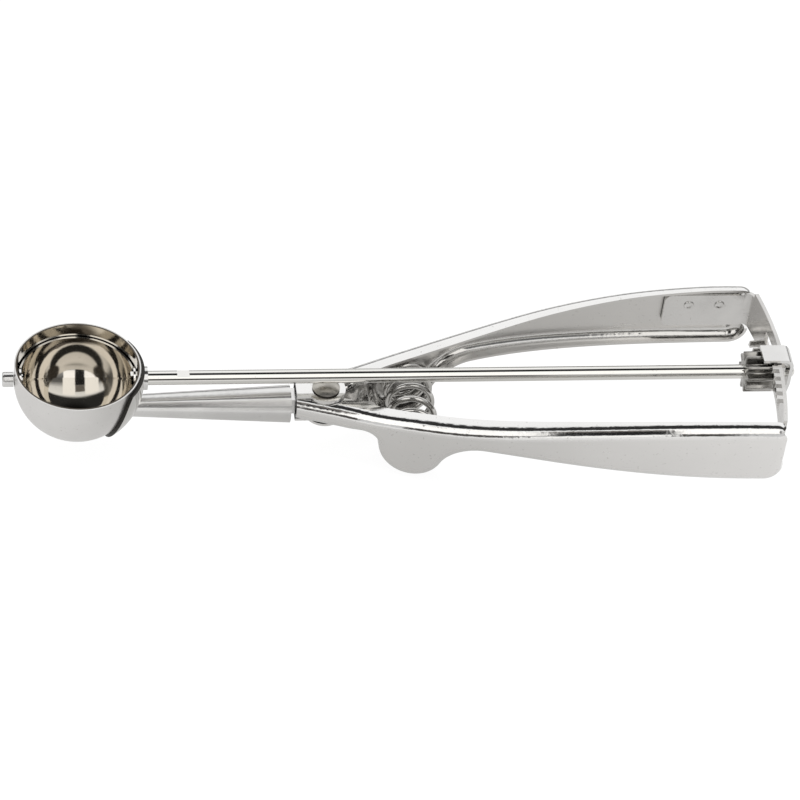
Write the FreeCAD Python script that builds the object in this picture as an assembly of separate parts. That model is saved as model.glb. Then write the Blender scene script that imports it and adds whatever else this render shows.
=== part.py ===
import FreeCAD, Part
import math
import os
from FreeCAD import Vector

# Lever ice cream scoop, in millimetres.
# The pieces are modelled about the middle of the bowl's sphere: +X runs along the rod to the
# handles' free ends, +Y is the side of the fixed handle, and the bowl opens towards +Z.
# The export moves them so that the origin lies under the middle of the whole scoop.

# Bowl
bowl_radius = 16.4
bowl_wall = 0.8
bowl_collar_height = 4.5
bowl_inner_radius = bowl_radius - bowl_wall

# Scraper blade and its pin
blade_clearance = 0.3
blade_thickness = 0.5
blade_top_angle = 2.0
blade_width_angle = 45.0
blade_tab_radius = 3.0
blade_radius = bowl_inner_radius - blade_clearance
pin_radius = 1.0
pin_clearance = 0.08
pin_head_radius = 2.0
pin_head_length = 2.9
pin_head_round = 0.5
pin_inner_head_radius = 1.5
pin_inner_head_length = 0.6
pin_seat_gap = 0.1

# Rod
rod_radius = 1.9
rod_swing_clearance = 0.3
rod_shoulder_gap = 0.1
tang_thickness = 1.6
tang_width = 3.2
tang_clearance = 0.3
tang_reach = 1.0
notch_distance = 8.5
notch_length = 3.2
notch_depth = 0.5
journal_radius = 1.4
journal_clearance = 0.1
rivet_end_radius = 1.75
rivet_end_length = 1.5

# Saddle that carries the bowl, and the bush in it
saddle_gap = 0.1
saddle_thickness = 0.9
saddle_half_angle = 48.0
saddle_tilt = 19.0
saddle_collar_height = 3.4
bush_length = 0.8
bush_wall = 0.9

# Ferrule between the saddle and the handles
ferrule_drop = 10.0
ferrule_end = 56.2
ferrule_front_radius = 3.0
ferrule_rear_radius = 5.0
ferrule_wall = 0.8
ferrule_seam_width = 0.25
ferrule_seam_angle = -62.0

# Pivot of the two handles
front_gap = 1.4
pivot_setback = 7.9
pivot_middle_z = -8.95
ear_sheet = 0.8
fixed_ear_half_height = 4.45
fixed_ear_radius = 5.2
front_plate_near_y = -3.0
front_plate_far_y = 4.0
nest_gap = 0.2
squeeze_ear_radius = 4.4
rivet_radius = 2.0
rivet_clearance = 0.1
rivet_head_radius = 3.65
rivet_head_height = 0.9
washer_radius = 3.3
washer_thickness = 0.4
tongue_depth = 11.2
tongue_half_width = 2.3
tongue_eye_radius = 3.4
tongue_clearance = 0.1
tongue_flat_drop = 2.85
tongue_overlap = 2.0

# Handles: pressed sheet channels whose open side faces the other handle.
# Places along them are distances behind the pivot, drawn for the outline's length.
handle_length = 119.0
outline_length = 119.0
handle_bend = 3.0
web_lead = 6.0
end_top_round = 3.8
end_bottom_round = 5.0
end_lip = 3.0
mouth_clearance = 0.8
# Outer face of the web, seen from above, as distance behind the pivot and distance from the rod
web_outline = [(-7.9, 4.6), (0.0, 7.0), (7.5, 9.5), (15.5, 12.8), (24.8, 16.0), (41.2, 20.6),
               (62.4, 24.9), (83.5, 27.5), (102.5, 28.7), (119.0, 29.0)]
# Free edge of the flanges, seen from above
flange_outline = [(-7.9, 1.4), (0.0, 2.2), (7.5, 3.6), (15.5, 7.4), (24.8, 10.8), (41.2, 15.6),
                  (62.4, 20.4), (83.5, 23.5), (102.5, 24.9), (119.0, 25.3)]
# Free edge of the bottom flanges, which reach further in behind the pivot
bottom_flange_outline = [(-7.9, 1.4), (0.0, 1.6), (7.5, 1.4), (12.0, 2.0), (17.0, 4.5), (24.8, 9.5),
                         (41.2, 15.6), (62.4, 20.4), (83.5, 23.5), (102.5, 24.9), (119.0, 25.3)]
flange_level = -9.0
# Top face, seen from the side, behind the flat ears
ears_length = 7.5
top_outline = [(18.7, -4.3), (30.5, -3.1), (41.2, -1.55), (51.8, 0.35), (62.4, 2.25),
               (72.5, 3.7), (83.5, 4.95), (102.5, 6.0), (119.0, 5.8)]
# Bottom face, seen from the side: a waist, the round finger lobe and the grip's underside
waist_z = -11.95
waist_start_gap = 1.0
waist_round = 3.0
lobe_distance = 22.3
lobe_z = -14.7
lobe_radius = 8.5
lobe_rear_round = 12.0
grip_bottom_z = -10.1
grip_flat_distance = 44.5
grip_outline = [(62.5, -10.8), (83.5, -12.1), (102.5, -12.9), (119.0, -13.1)]

# Return spring between the lobes
spring_distance = 23.5
spring_z = -13.2
spring_outer_radius = 6.6
spring_wire_radius = 0.85
spring_turns = 7
spring_end_gap = 0.25
spring_end_closing = 0.3
seat_clearance = 0.4
seat_length = 2.6
seat_web_gap = 0.02

# Racks and pinion
rack_sheet = 1.0
rack_behind_handles = 1.3
rack_spacing = 1.4
rack_top_z = 5.5
fixed_rack_bottom_z = -7.0
squeeze_rack_bottom_z = -3.2
rack_end = 3.0
rack_low_top_z = 4.1
rack_full_from = 2.15
rack_full_to = 24.4
rack_slot_side = 0.5
rack_slot_height = 3.4
rack_slot_travel = 11.8
rack_bend = 2.5
tab_length = 22.0
tab_inset = 7.0
tab_gap = 0.1
tab_bottom_z = -7.4
tab_top_z = 3.4
tab_round = 2.0
tooth_reach = 1.6
tooth_root_z = 5.5
tooth_tip_z = 3.7
tooth_root_width = 1.3
tooth_tip_width = 0.5
fixed_rack_teeth = 7
squeeze_rack_teeth = 7
weld_radius = 1.4
weld_top_radius = 1.0
weld_height = 0.3
weld_spacing = 8.5
pinion_teeth = 10
pinion_pitch_radius = 4.5
pinion_tip_radius = 5.4
pinion_root_radius = 3.2
pinion_length = 7.6
pinion_gap = 0.4
pinion_tooth_root_width = 1.5
pinion_tooth_tip_width = 0.75

# Keeper that straddles the racks
keeper_sheet = 0.9
keeper_gap = 0.3
keeper_reach_front = 4.4
keeper_reach_back = 4.0
keeper_half_width = 3.0
keeper_bend = 2.0
keeper_leg_bottom_z = -8.5
keeper_tip_radius = 1.6
keeper_shoulder_z = -2.0

# Places that follow from the sizes above
handle_front = ferrule_end + front_gap
pivot_x = handle_front + pivot_setback
pivot = Vector(pivot_x, 0, 0)
handle_stretch = handle_length / outline_length
handle_end = pivot_x + handle_length
ears_end = pivot_x + ears_length
lobe_x = pivot_x + lobe_distance * handle_stretch
grip_flat_end = pivot_x + grip_flat_distance * handle_stretch
spring_x = pivot_x + spring_distance * handle_stretch
squeeze_rack_radius = handle_length + rack_behind_handles
keeper_front = pivot_x + squeeze_rack_radius - keeper_reach_front
keeper_back = pivot_x + squeeze_rack_radius + keeper_reach_back
saddle_outer_radius = bowl_radius + saddle_gap + saddle_thickness
pinion_end = pivot_x + squeeze_rack_radius - rack_sheet / 2 - pinion_gap
pinion_start = pinion_end - pinion_length
fixed_rack_radius = squeeze_rack_radius + rack_spacing
fixed_ear_top = pivot_middle_z + fixed_ear_half_height
squeeze_ear_half_height = fixed_ear_half_height - ear_sheet - nest_gap
tooth_pitch = 2 * math.pi * pinion_pitch_radius / pinion_teeth
tooth_start = pivot_x + squeeze_rack_radius - rack_sheet / 2 - tooth_reach
mesh_radius = (tooth_start + pinion_end) / 2 - pivot_x
scoop_front = -(bowl_radius + pin_seat_gap + pin_head_length)
scoop_back = keeper_back + rivet_end_length
row_shift = Vector(-(scoop_front + scoop_back) / 2, 0, lobe_radius - lobe_z)
margin = 60.0


def save(name, shape):
    """Move a piece into the scoop's frame and write it under its name."""
    moved = shape.copy()
    moved.translate(row_shift)
    moved.exportStep("parts/" + name + ".step")
    solids = moved.Solids
    volume = sum(solid.Volume for solid in solids)
    print(name, len(solids), "solid(s),", round(volume, 1), "mm3, valid", moved.isValid())


def tidy(shape):
    """Fuse split faces, and return the bare solid where there is only one."""
    clean = shape.removeSplitter()
    return clean.Solids[0] if len(clean.Solids) == 1 else clean


def cylinder(start, end, radius):
    """Round bar between two points."""
    run = end.sub(start)
    return Part.makeCylinder(radius, run.Length, start, run)


def box_between(low, high):
    """Box from its lowest corner to its highest."""
    size = high.sub(low)
    return Part.makeBox(size.x, size.y, size.z, low)


def along_x(start, end, radius, z=0.0):
    """Round bar along the rod's direction."""
    return cylinder(Vector(start, 0, z), Vector(end, 0, z), radius)


def dome(base, direction, radius, height):
    """Low round head that stands on its base."""
    sphere_radius = (radius * radius + height * height) / (2 * height)
    centre = base + direction * (height - sphere_radius)
    ball = Part.makeSphere(sphere_radius, centre)
    return ball.common(cylinder(base, base + direction * height, radius))


def cup(radius, collar_height):
    """Solid round-bottomed form: half a ball with a straight collar above it."""
    ball = Part.makeSphere(radius)
    below = box_between(Vector(-margin, -margin, -margin), Vector(margin, margin, 0))
    collar = Part.makeCylinder(radius, collar_height)
    return ball.common(below).fuse(collar)


def make_bowl():
    """Round bowl with a short straight collar, a pin hole and the rod's bearing hole."""
    shell = cup(bowl_radius, bowl_collar_height)
    shell = shell.cut(cup(bowl_inner_radius, bowl_collar_height + 1))
    shell = shell.cut(along_x(-margin, 0, pin_radius))
    shell = shell.cut(along_x(0, margin, rod_radius + rod_swing_clearance))
    return tidy(shell)


def make_saddle():
    """Plate that hugs the bowl's outside around the rod's bearing."""
    plate = cup(saddle_outer_radius, saddle_collar_height)
    plate = plate.cut(cup(bowl_radius + saddle_gap, saddle_collar_height + 1))
    tilt = math.radians(saddle_tilt)
    direction = Vector(math.cos(tilt), 0, -math.sin(tilt))
    reach = 2 * saddle_outer_radius
    spread = reach * math.tan(math.radians(saddle_half_angle))
    cone = Part.makeCone(0, spread, reach, Vector(0, 0, 0), direction)
    plate = plate.common(cone)
    plate = plate.cut(along_x(0, margin, rod_radius + rod_swing_clearance))
    return tidy(plate)


def make_bush():
    """Thin round bush on the saddle, around the rod."""
    outer = rod_radius + rod_swing_clearance + bush_wall
    body = along_x(bowl_radius, saddle_outer_radius + bush_length, outer)
    body = body.cut(along_x(0, margin, rod_radius + rod_swing_clearance))
    return tidy(body.cut(cup(saddle_outer_radius, saddle_collar_height)))


def make_blade():
    """Curved strip that sweeps the bowl, with a round tab at each end."""
    shell = Part.makeSphere(blade_radius).cut(Part.makeSphere(blade_radius - blade_thickness))
    top = math.radians(blade_top_angle)
    low = math.radians(blade_top_angle - blade_width_angle)
    corners = [Vector(-margin, 0, 0),
               Vector(-margin, margin * math.cos(top), margin * math.sin(top)),
               Vector(-margin, margin * math.cos(low), margin * math.sin(low)),
               Vector(-margin, 0, 0)]
    wedge = Part.Face(Part.makePolygon(corners)).extrude(Vector(2 * margin, 0, 0))
    strip = shell.common(wedge)
    tabs = shell.common(along_x(-margin, margin, blade_tab_radius))
    blade = strip.fuse(tabs)
    blade = blade.cut(along_x(-margin, 0, pin_radius + pin_clearance))
    slot_width = tang_thickness / 2 + tang_clearance
    slot_length = tang_width / 2 + tang_clearance
    slot = box_between(Vector(0, -slot_width, -slot_length),
                       Vector(margin, slot_width, slot_length))
    return tidy(blade.cut(slot))


def make_blade_pin():
    """Pin on the bowl's nose: the blade turns on it."""
    head_start = -(bowl_radius + pin_seat_gap + pin_head_length)
    head_end = -(bowl_radius + pin_seat_gap)
    inner_end = -(blade_radius - blade_thickness - pin_seat_gap - pin_inner_head_length)
    inner_start = inner_end - pin_inner_head_length
    head = along_x(head_start, head_end, pin_head_radius)
    rim = [edge for edge in head.Edges if abs(edge.CenterOfMass.x - head_start) < 0.01]
    head = head.makeFillet(pin_head_round, rim)
    shank = along_x(head_end, inner_start, pin_radius)
    inner_head = along_x(inner_start, inner_end, pin_inner_head_radius)
    return tidy(head.fuse([shank, inner_head]))


def make_rod():
    """Long rod: tang in the blade, notch, plain shaft, thin journal and riveted end."""
    shoulder = bowl_inner_radius + rod_shoulder_gap
    tang_start = blade_radius - blade_thickness - tang_reach
    tang = box_between(Vector(tang_start, -tang_thickness / 2, -tang_width / 2),
                       Vector(shoulder, tang_thickness / 2, tang_width / 2))
    shaft = along_x(shoulder, pinion_end, rod_radius)
    notch_start = saddle_outer_radius + notch_distance
    notch = box_between(Vector(notch_start, -margin, rod_radius - notch_depth),
                        Vector(notch_start + notch_length, margin, margin))
    journal = along_x(pinion_end, keeper_back, journal_radius)
    end_head = dome(Vector(keeper_back, 0, 0), Vector(1, 0, 0), rivet_end_radius, rivet_end_length)
    return tidy(shaft.cut(notch).fuse([tang, journal, end_head]))


def make_ferrule():
    """Tapered tube from the saddle to the handles, with its seam left open."""
    run = ferrule_end
    taper = (ferrule_rear_radius - ferrule_front_radius) / (ferrule_end - bowl_radius)
    start_radius = ferrule_front_radius - taper * bowl_radius
    start = Vector(0, 0, -ferrule_drop)
    outer = Part.makeCone(start_radius, ferrule_rear_radius, run, start, Vector(1, 0, 0))
    inner = Part.makeCone(start_radius - ferrule_wall, ferrule_rear_radius - ferrule_wall, run,
                          start, Vector(1, 0, 0))
    tube = outer.cut(inner)
    seam = box_between(Vector(bowl_radius + 2, -ferrule_seam_width / 2, 0),
                       Vector(ferrule_end + 1, ferrule_seam_width / 2, margin))
    seam.rotate(Vector(0, 0, 0), Vector(1, 0, 0), 90 - ferrule_seam_angle)
    seam.translate(start)
    tube = tube.cut(Part.makeSphere(saddle_outer_radius)).cut(seam)
    return tidy(tube)


def make_tongue():
    """Bar held in the ferrule's end, with an eye between the handles' ears."""
    taper = (ferrule_rear_radius - ferrule_front_radius) / (ferrule_end - bowl_radius)
    rear_radius = ferrule_rear_radius - ferrule_wall - tongue_clearance
    front_radius = rear_radius - taper * tongue_depth
    plug = Part.makeCone(front_radius, rear_radius, tongue_depth,
                         Vector(ferrule_end - tongue_depth, 0, -ferrule_drop), Vector(1, 0, 0))
    half_height = squeeze_ear_half_height - ear_sheet - nest_gap
    low = pivot_middle_z - half_height
    bar = box_between(Vector(ferrule_end - tongue_overlap, -tongue_half_width, low),
                      Vector(pivot_x, tongue_half_width, low + 2 * half_height))
    above = Vector(ferrule_end - tongue_overlap, -margin, -ferrule_drop - tongue_flat_drop)
    bar = bar.common(box_between(above, Vector(margin * 2, margin, margin)))
    eye = Part.makeCylinder(tongue_eye_radius, 2 * half_height, Vector(pivot_x, 0, low))
    hole = Part.makeCylinder(rivet_radius + rivet_clearance, margin, Vector(pivot_x, 0, -margin / 2))
    neck = box_between(Vector(ferrule_end - tongue_overlap, -margin, -margin),
                       Vector(ferrule_end, margin, margin))
    bar_in_ferrule = bar.common(neck).common(plug)
    bar_behind = bar.cut(neck)
    return tidy(plug.fuse([bar_in_ferrule, bar_behind, eye]).cut(hole))


def make_rivet():
    """Pivot rivet: round shank, domed head on the washer and a flatter head below."""
    top = fixed_ear_top + washer_thickness
    bottom = fixed_ear_top - 2 * fixed_ear_half_height
    shank = cylinder(Vector(pivot_x, 0, bottom), Vector(pivot_x, 0, top), rivet_radius)
    upper = dome(Vector(pivot_x, 0, top), Vector(0, 0, 1), rivet_head_radius, rivet_head_height)
    lower = dome(Vector(pivot_x, 0, bottom), Vector(0, 0, -1), rivet_head_radius,
                 rivet_head_height)
    return tidy(shank.fuse([upper, lower]))


def make_washer():
    """Flat washer under the rivet's domed head."""
    base = Vector(pivot_x, 0, fixed_ear_top)
    ring = Part.makeCylinder(washer_radius, washer_thickness, base)
    return ring.cut(Part.makeCylinder(rivet_radius + rivet_clearance, washer_thickness, base))


def smooth_curve(points):
    """Smooth curve through a few points."""
    curve = Part.BSplineCurve()
    curve.interpolate(points)
    return curve


def beside(curve, gap, side, count=24):
    """Curve that runs at a gap beside another; side gives the turn from its direction."""
    points = []
    for step in range(count):
        share = step / (count - 1)
        place = curve.FirstParameter + share * (curve.LastParameter - curve.FirstParameter)
        direction = curve.tangent(place)[0]
        points.append(curve.value(place) + side.cross(direction).normalize() * gap)
    return smooth_curve(points)


def arc_about(centre, radius, start, end):
    """Arc in the side view about a centre, from one angle to another, in degrees."""
    def place(angle):
        turn = math.radians(angle)
        return centre + Vector(radius * math.cos(turn), 0, radius * math.sin(turn))
    return Part.Arc(place(start), place((start + end) / 2), place(end)).toShape()


def behind_pivot(points, upright):
    """Points of the side view (upright) or the top view, from their distances behind the pivot."""
    placed = []
    for distance, level in points:
        x = pivot_x + distance * (handle_stretch if distance > 0 else 1)
        placed.append(Vector(x, 0, level) if upright else Vector(x, level, 0))
    return placed


def handle_side(ear_half_height, inset):
    """Handle seen from the side, as a solid across the scoop; inset moves every side inwards."""
    start = handle_front - (1 if inset else 0)
    end = handle_end - inset
    ear_top = pivot_middle_z + ear_half_height
    ear_bottom = pivot_middle_z - ear_half_height + inset
    top_points = [Vector(ears_end, 0, ear_top)] + behind_pivot(top_outline, True)
    top_curve = Part.BSplineCurve()
    last_slope = Vector(1, 0, -0.05)
    top_curve.interpolate(Points=top_points, InitialTangent=Vector(1, 0, 0), FinalTangent=last_slope)
    if inset:
        top_curve = beside(top_curve, inset, Vector(0, 1, 0))
    top_start = top_curve.value(top_curve.FirstParameter)
    top_end = top_curve.value(top_curve.LastParameter)

    lobe = Vector(lobe_x, 0, lobe_z)
    lobe_now = lobe_radius - inset
    waist_now = waist_round + inset
    rear_now = lobe_rear_round + inset
    waist_centre_z = waist_z - waist_round
    waist_drop = waist_centre_z - lobe_z
    waist_run = math.sqrt((lobe_radius + waist_round) ** 2 - waist_drop ** 2)
    waist_centre = Vector(lobe_x - waist_run, 0, waist_centre_z)
    waist_angle = math.degrees(math.atan2(-waist_drop, waist_run))
    rear_centre_z = grip_bottom_z - lobe_rear_round
    rear_drop = rear_centre_z - lobe_z
    rear_run = math.sqrt((lobe_radius + lobe_rear_round) ** 2 - rear_drop ** 2)
    rear_centre = Vector(lobe_x + rear_run, 0, rear_centre_z)
    rear_angle = math.degrees(math.atan2(rear_drop, rear_run))

    waist_start = Vector(waist_centre.x, 0, waist_centre.z + waist_now)
    waist_arc = arc_about(waist_centre, waist_now, 90, waist_angle)
    lobe_arc = arc_about(lobe, lobe_now, 180 + waist_angle, 360 + rear_angle)
    rear_arc = arc_about(rear_centre, rear_now, 180 + rear_angle, 90)
    flat_start = Vector(rear_centre.x, 0, grip_bottom_z + inset)
    grip_points = [Vector(grip_flat_end, 0, grip_bottom_z)] + behind_pivot(grip_outline, True)
    grip_curve = Part.BSplineCurve()
    grip_curve.interpolate(Points=grip_points, InitialTangent=Vector(1, 0, 0),
                           FinalTangent=Vector(1, 0, 0))
    if inset:
        grip_curve = beside(grip_curve, inset, Vector(0, -1, 0))
    flat_end = grip_curve.value(grip_curve.FirstParameter)
    grip_end = grip_curve.value(grip_curve.LastParameter)
    front_bottom = Vector(start, 0, ear_bottom)
    ear_back = Vector(ears_end - waist_start_gap, 0, ear_bottom)
    front_top = Vector(start, 0, top_start.z)
    waist_lead = Part.BSplineCurve()
    waist_lead.interpolate(Points=[ear_back, waist_start], InitialTangent=Vector(1, 0, 0),
                           FinalTangent=Vector(1, 0, 0))
    edges = [Part.LineSegment(front_bottom, ear_back).toShape(), waist_lead.toShape(),
             waist_arc, lobe_arc, rear_arc, Part.LineSegment(flat_start, flat_end).toShape(),
             grip_curve.toShape(), Part.LineSegment(grip_end, top_end).toShape(),
             top_curve.toShape(),
             Part.LineSegment(top_start, front_top).toShape(),
             Part.LineSegment(front_top, front_bottom).toShape()]
    outline = Part.Wire(Part.__sortEdges__(edges))
    solid = Part.Face(outline).extrude(Vector(0, 2 * margin, 0))
    solid.translate(Vector(0, -margin, 0))
    if inset:
        trim = box_between(Vector(-margin, -margin, -margin), Vector(end, margin, margin))
        solid = solid.common(trim)
    ends = [edge for edge in solid.Edges
            if len(edge.Vertexes) == 2
            and abs(edge.Vertexes[0].Y - edge.Vertexes[1].Y) > margin
            and min(vertex.X for vertex in edge.Vertexes) > end - 0.5]
    ends.sort(key=lambda edge: edge.CenterOfMass.z)
    solid = solid.makeFillet(end_bottom_round - inset, [ends[0]])
    ends = [edge for edge in solid.Edges
            if len(edge.Vertexes) == 2
            and abs(edge.Vertexes[0].Y - edge.Vertexes[1].Y) > margin
            and min(vertex.X for vertex in edge.Vertexes) > end - 0.5
            and edge.CenterOfMass.z > 0]
    ends.sort(key=lambda edge: edge.CenterOfMass.z)
    return solid.makeFillet(end_top_round - inset, [ends[-1]])


def plan_region(curve, inner_side):
    """Flat region between a curve beside the rod and a line on the other side of it."""
    first = curve.value(curve.FirstParameter)
    last = curve.value(curve.LastParameter)
    edges = [curve.toShape(),
             Part.LineSegment(last, Vector(last.x, inner_side, 0)).toShape(),
             Part.LineSegment(Vector(last.x, inner_side, 0), Vector(first.x, inner_side, 0)).toShape(),
             Part.LineSegment(Vector(first.x, inner_side, 0), first).toShape()]
    solid = Part.Face(Part.Wire(edges)).extrude(Vector(0, 0, 2 * margin))
    solid.translate(Vector(0, 0, -margin))
    return solid


def web_curve(inset=0.0):
    """Outer face of the web from above, carried a little past both ends."""
    first, second = web_outline[0], web_outline[1]
    last, before = web_outline[-1], web_outline[-2]
    front_slope = (second[1] - first[1]) / (second[0] - first[0])
    back_slope = (last[1] - before[1]) / (last[0] - before[0])
    lead = (first[0] - web_lead, first[1] - web_lead * front_slope)
    tail = (last[0] + web_lead, last[1] + web_lead * back_slope)
    curve = smooth_curve(behind_pivot([lead] + web_outline + [tail], False))
    return beside(curve, inset, Vector(0, 0, -1)) if inset else curve


def web_face(solid):
    """The handle's broad outer face."""
    broad = [face for face in solid.Faces
             if abs(face.normalAt(*face.Surface.parameter(face.CenterOfMass)).y) > 0.8]
    return max(broad, key=lambda face: face.Area)


def rounded_block(ear_half_height, inset, bend):
    """Block of the handle's outer or inner form, with its long bend rounded."""
    block = handle_side(ear_half_height, inset).common(plan_region(web_curve(inset), -margin / 2))
    face = web_face(block)
    chain = [edge for edge in face.Edges if edge.CenterOfMass.x > handle_front + 0.2]
    return block.makeFillet(bend, chain)


def make_handle(ear_half_height, ear_radius, front_plate):
    """Pressed sheet handle on the +Y side: web, flanges, round ears and closed end."""
    outer = rounded_block(ear_half_height, 0.0, handle_bend)
    inner = rounded_block(ear_half_height, ear_sheet, handle_bend - ear_sheet)
    shell = outer.cut(inner)
    outside = plan_region(web_curve(-1.0), -margin)
    above = box_between(Vector(-margin, -margin, flange_level), Vector(2 * handle_end, margin, margin))
    top_band = outside.cut(plan_region(smooth_curve(behind_pivot(flange_outline, False)), -margin))
    low_edge = smooth_curve(behind_pivot(bottom_flange_outline, False))
    low_band = outside.cut(plan_region(low_edge, -margin))
    band = top_band.common(above).fuse(low_band.cut(above))
    front = box_between(Vector(-margin, -margin, -margin), Vector(handle_front, margin, margin))
    band = band.cut(front)
    beyond = box_between(Vector(handle_end, -margin, -margin),
                         Vector(2 * handle_end, flange_outline[-1][1], margin))
    band = band.cut(beyond)
    disc = Part.makeCylinder(ear_radius, 2 * margin, Vector(pivot_x, 0, -margin))
    keep = band.fuse(disc)
    if front_plate:
        plate = box_between(Vector(handle_front, front_plate_near_y, -margin),
                            Vector(pivot_x, front_plate_far_y, margin))
        keep = keep.fuse(plate)
    hole = Part.makeCylinder(rivet_radius + rivet_clearance, 2 * margin,
                             Vector(pivot_x, 0, -margin))
    top_at_end = top_outline[-1][1]
    mouth = box_between(Vector(handle_end - end_lip, -margin, tab_bottom_z - mouth_clearance),
                        Vector(handle_end + 1, web_outline[-1][1] - ear_sheet, top_at_end - ear_sheet))
    return tidy(shell.common(keep).cut(hole).cut(mouth))


def mirrored(shape):
    """The same piece on the squeeze handle's side."""
    return shape.mirror(Vector(0, 0, 0), Vector(0, 1, 0))


def tab_line():
    """Distance from the rod to the middle of a rack's tab inside the web."""
    tab_start = handle_end - tab_length - tab_inset
    nearest = min(web_inside(tab_start)[0], web_inside(handle_end)[0])
    return nearest - tab_gap - rack_sheet / 2


def rack_plan(radius, from_y, to_y, low, high):
    """Stretch of a rack's band about the pivot, from one distance beside the rod to another."""
    ring = Part.makeCylinder(radius + rack_sheet / 2, high - low, Vector(pivot_x, 0, low))
    ring = ring.cut(Part.makeCylinder(radius - rack_sheet / 2, high - low, Vector(pivot_x, 0, low)))
    return ring.common(box_between(Vector(pivot_x, from_y, low), Vector(2 * handle_end, to_y, high)))


def rack_root(radius, low, high, tab_low):
    """Bend and tab that carry a rack inside its handle's web."""
    line = tab_line()
    bend_y = line - rack_bend
    bend_x = pivot_x + math.sqrt((radius - rack_bend) ** 2 - bend_y ** 2)
    centre = Vector(bend_x, bend_y, 0)
    touch = pivot + (centre - pivot) * (radius / (radius - rack_bend))
    bend = Part.makeCylinder(rack_bend + rack_sheet / 2, high - low, Vector(bend_x, bend_y, low))
    bend = bend.cut(Part.makeCylinder(rack_bend - rack_sheet / 2, high - low,
                                      Vector(bend_x, bend_y, low)))
    far = margin
    sector_points = [centre, centre + Vector(0, far, 0), centre + Vector(far, far, 0),
                     centre + (touch - centre) * (far / rack_bend), centre]
    sector = Part.Face(Part.makePolygon(sector_points)).extrude(Vector(0, 0, high - low))
    sector.translate(Vector(0, 0, low))
    bend = bend.common(sector)
    band = rack_plan(radius, rack_full_to, touch.y, low, high)
    tab = box_between(Vector(bend_x - tab_length, line - rack_sheet / 2, tab_low),
                      Vector(bend_x, line + rack_sheet / 2, tab_top_z))
    corners = [edge for edge in tab.Edges
               if abs(edge.Vertexes[0].Y - edge.Vertexes[1].Y) > rack_sheet * 0.9
               and edge.CenterOfMass.x < bend_x - tab_length / 2]
    tab = tab.makeFillet(tab_round, corners)
    return band.fuse([bend, tab])


def rack_tooth(radius, y, sign):
    """One tooth, bent in from the rack's edge towards the pinion; sign +1 hangs at the top."""
    outer = sign * tooth_root_z
    inner = sign * tooth_tip_z
    half_root = tooth_root_width / 2
    half_tip = tooth_tip_width / 2
    start = Vector(tooth_start, 0, 0)
    corners = [start + Vector(0, -half_root, outer), start + Vector(0, half_root, outer),
               start + Vector(0, half_tip, inner), start + Vector(0, -half_tip, inner),
               start + Vector(0, -half_root, outer)]
    length = pivot_x + radius - tooth_start
    tooth = Part.Face(Part.makePolygon(corners)).extrude(Vector(length, 0, 0))
    turn = math.degrees(y / mesh_radius)
    tooth.rotate(pivot, Vector(0, 0, 1), turn)
    return tooth


def make_rack(radius, bottom, sign, teeth):
    """Rack on the +Y side: slotted band, teeth on one edge, bend and tab."""
    full = rack_plan(radius, -rack_full_from, rack_full_to, bottom, rack_top_z)
    low_end = rack_plan(radius, -rack_end, -rack_full_from, bottom, rack_low_top_z)
    root = rack_root(radius, bottom, rack_low_top_z, tab_bottom_z)
    slot_half = rack_slot_height / 2
    slot = box_between(Vector(pivot_x + mesh_radius, -journal_radius - rack_slot_side, -slot_half),
                       Vector(2 * handle_end, journal_radius + rack_slot_side + rack_slot_travel,
                              slot_half))
    pieces = [low_end, root]
    for index in range(teeth):
        pieces.append(rack_tooth(radius, tooth_pitch * (index - 0.5), sign))
    return tidy(full.fuse(pieces).cut(slot))


def make_welds(radius):
    """Two flat-topped weld spots on the inner face of a rack's tab."""
    line = tab_line()
    bend_x = pivot_x + math.sqrt((radius - rack_bend) ** 2 - (line - rack_bend) ** 2)
    face_y = line - rack_sheet / 2
    spots = []
    for side in (-1, 1):
        place = Vector(bend_x - tab_length / 2 + side * weld_spacing / 2, face_y, 0)
        spots.append(Part.makeCone(weld_radius, weld_top_radius, weld_height, place, Vector(0, -1, 0)))
    return Part.makeCompound(spots)


def make_pinion():
    """Straight-toothed pinion on the rod's end, with a tooth at the top and at the bottom."""
    points = []
    for index in range(pinion_teeth):
        middle = math.radians(90 + 360 * index / pinion_teeth)
        along = Vector(0, math.cos(middle), math.sin(middle))
        across = Vector(0, -math.sin(middle), math.cos(middle))
        root = pinion_tooth_root_width / 2
        tip = pinion_tooth_tip_width / 2
        points += [along * pinion_root_radius - across * root, along * pinion_tip_radius - across * tip,
                   along * pinion_tip_radius + across * tip, along * pinion_root_radius + across * root]
    points.append(points[0])
    outline = Part.Face(Part.makePolygon(points))
    gear = outline.extrude(Vector(pinion_length, 0, 0))
    gear.translate(Vector(pinion_start, 0, 0))
    return gear.cut(along_x(pinion_start, pinion_end, rod_radius))


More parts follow.
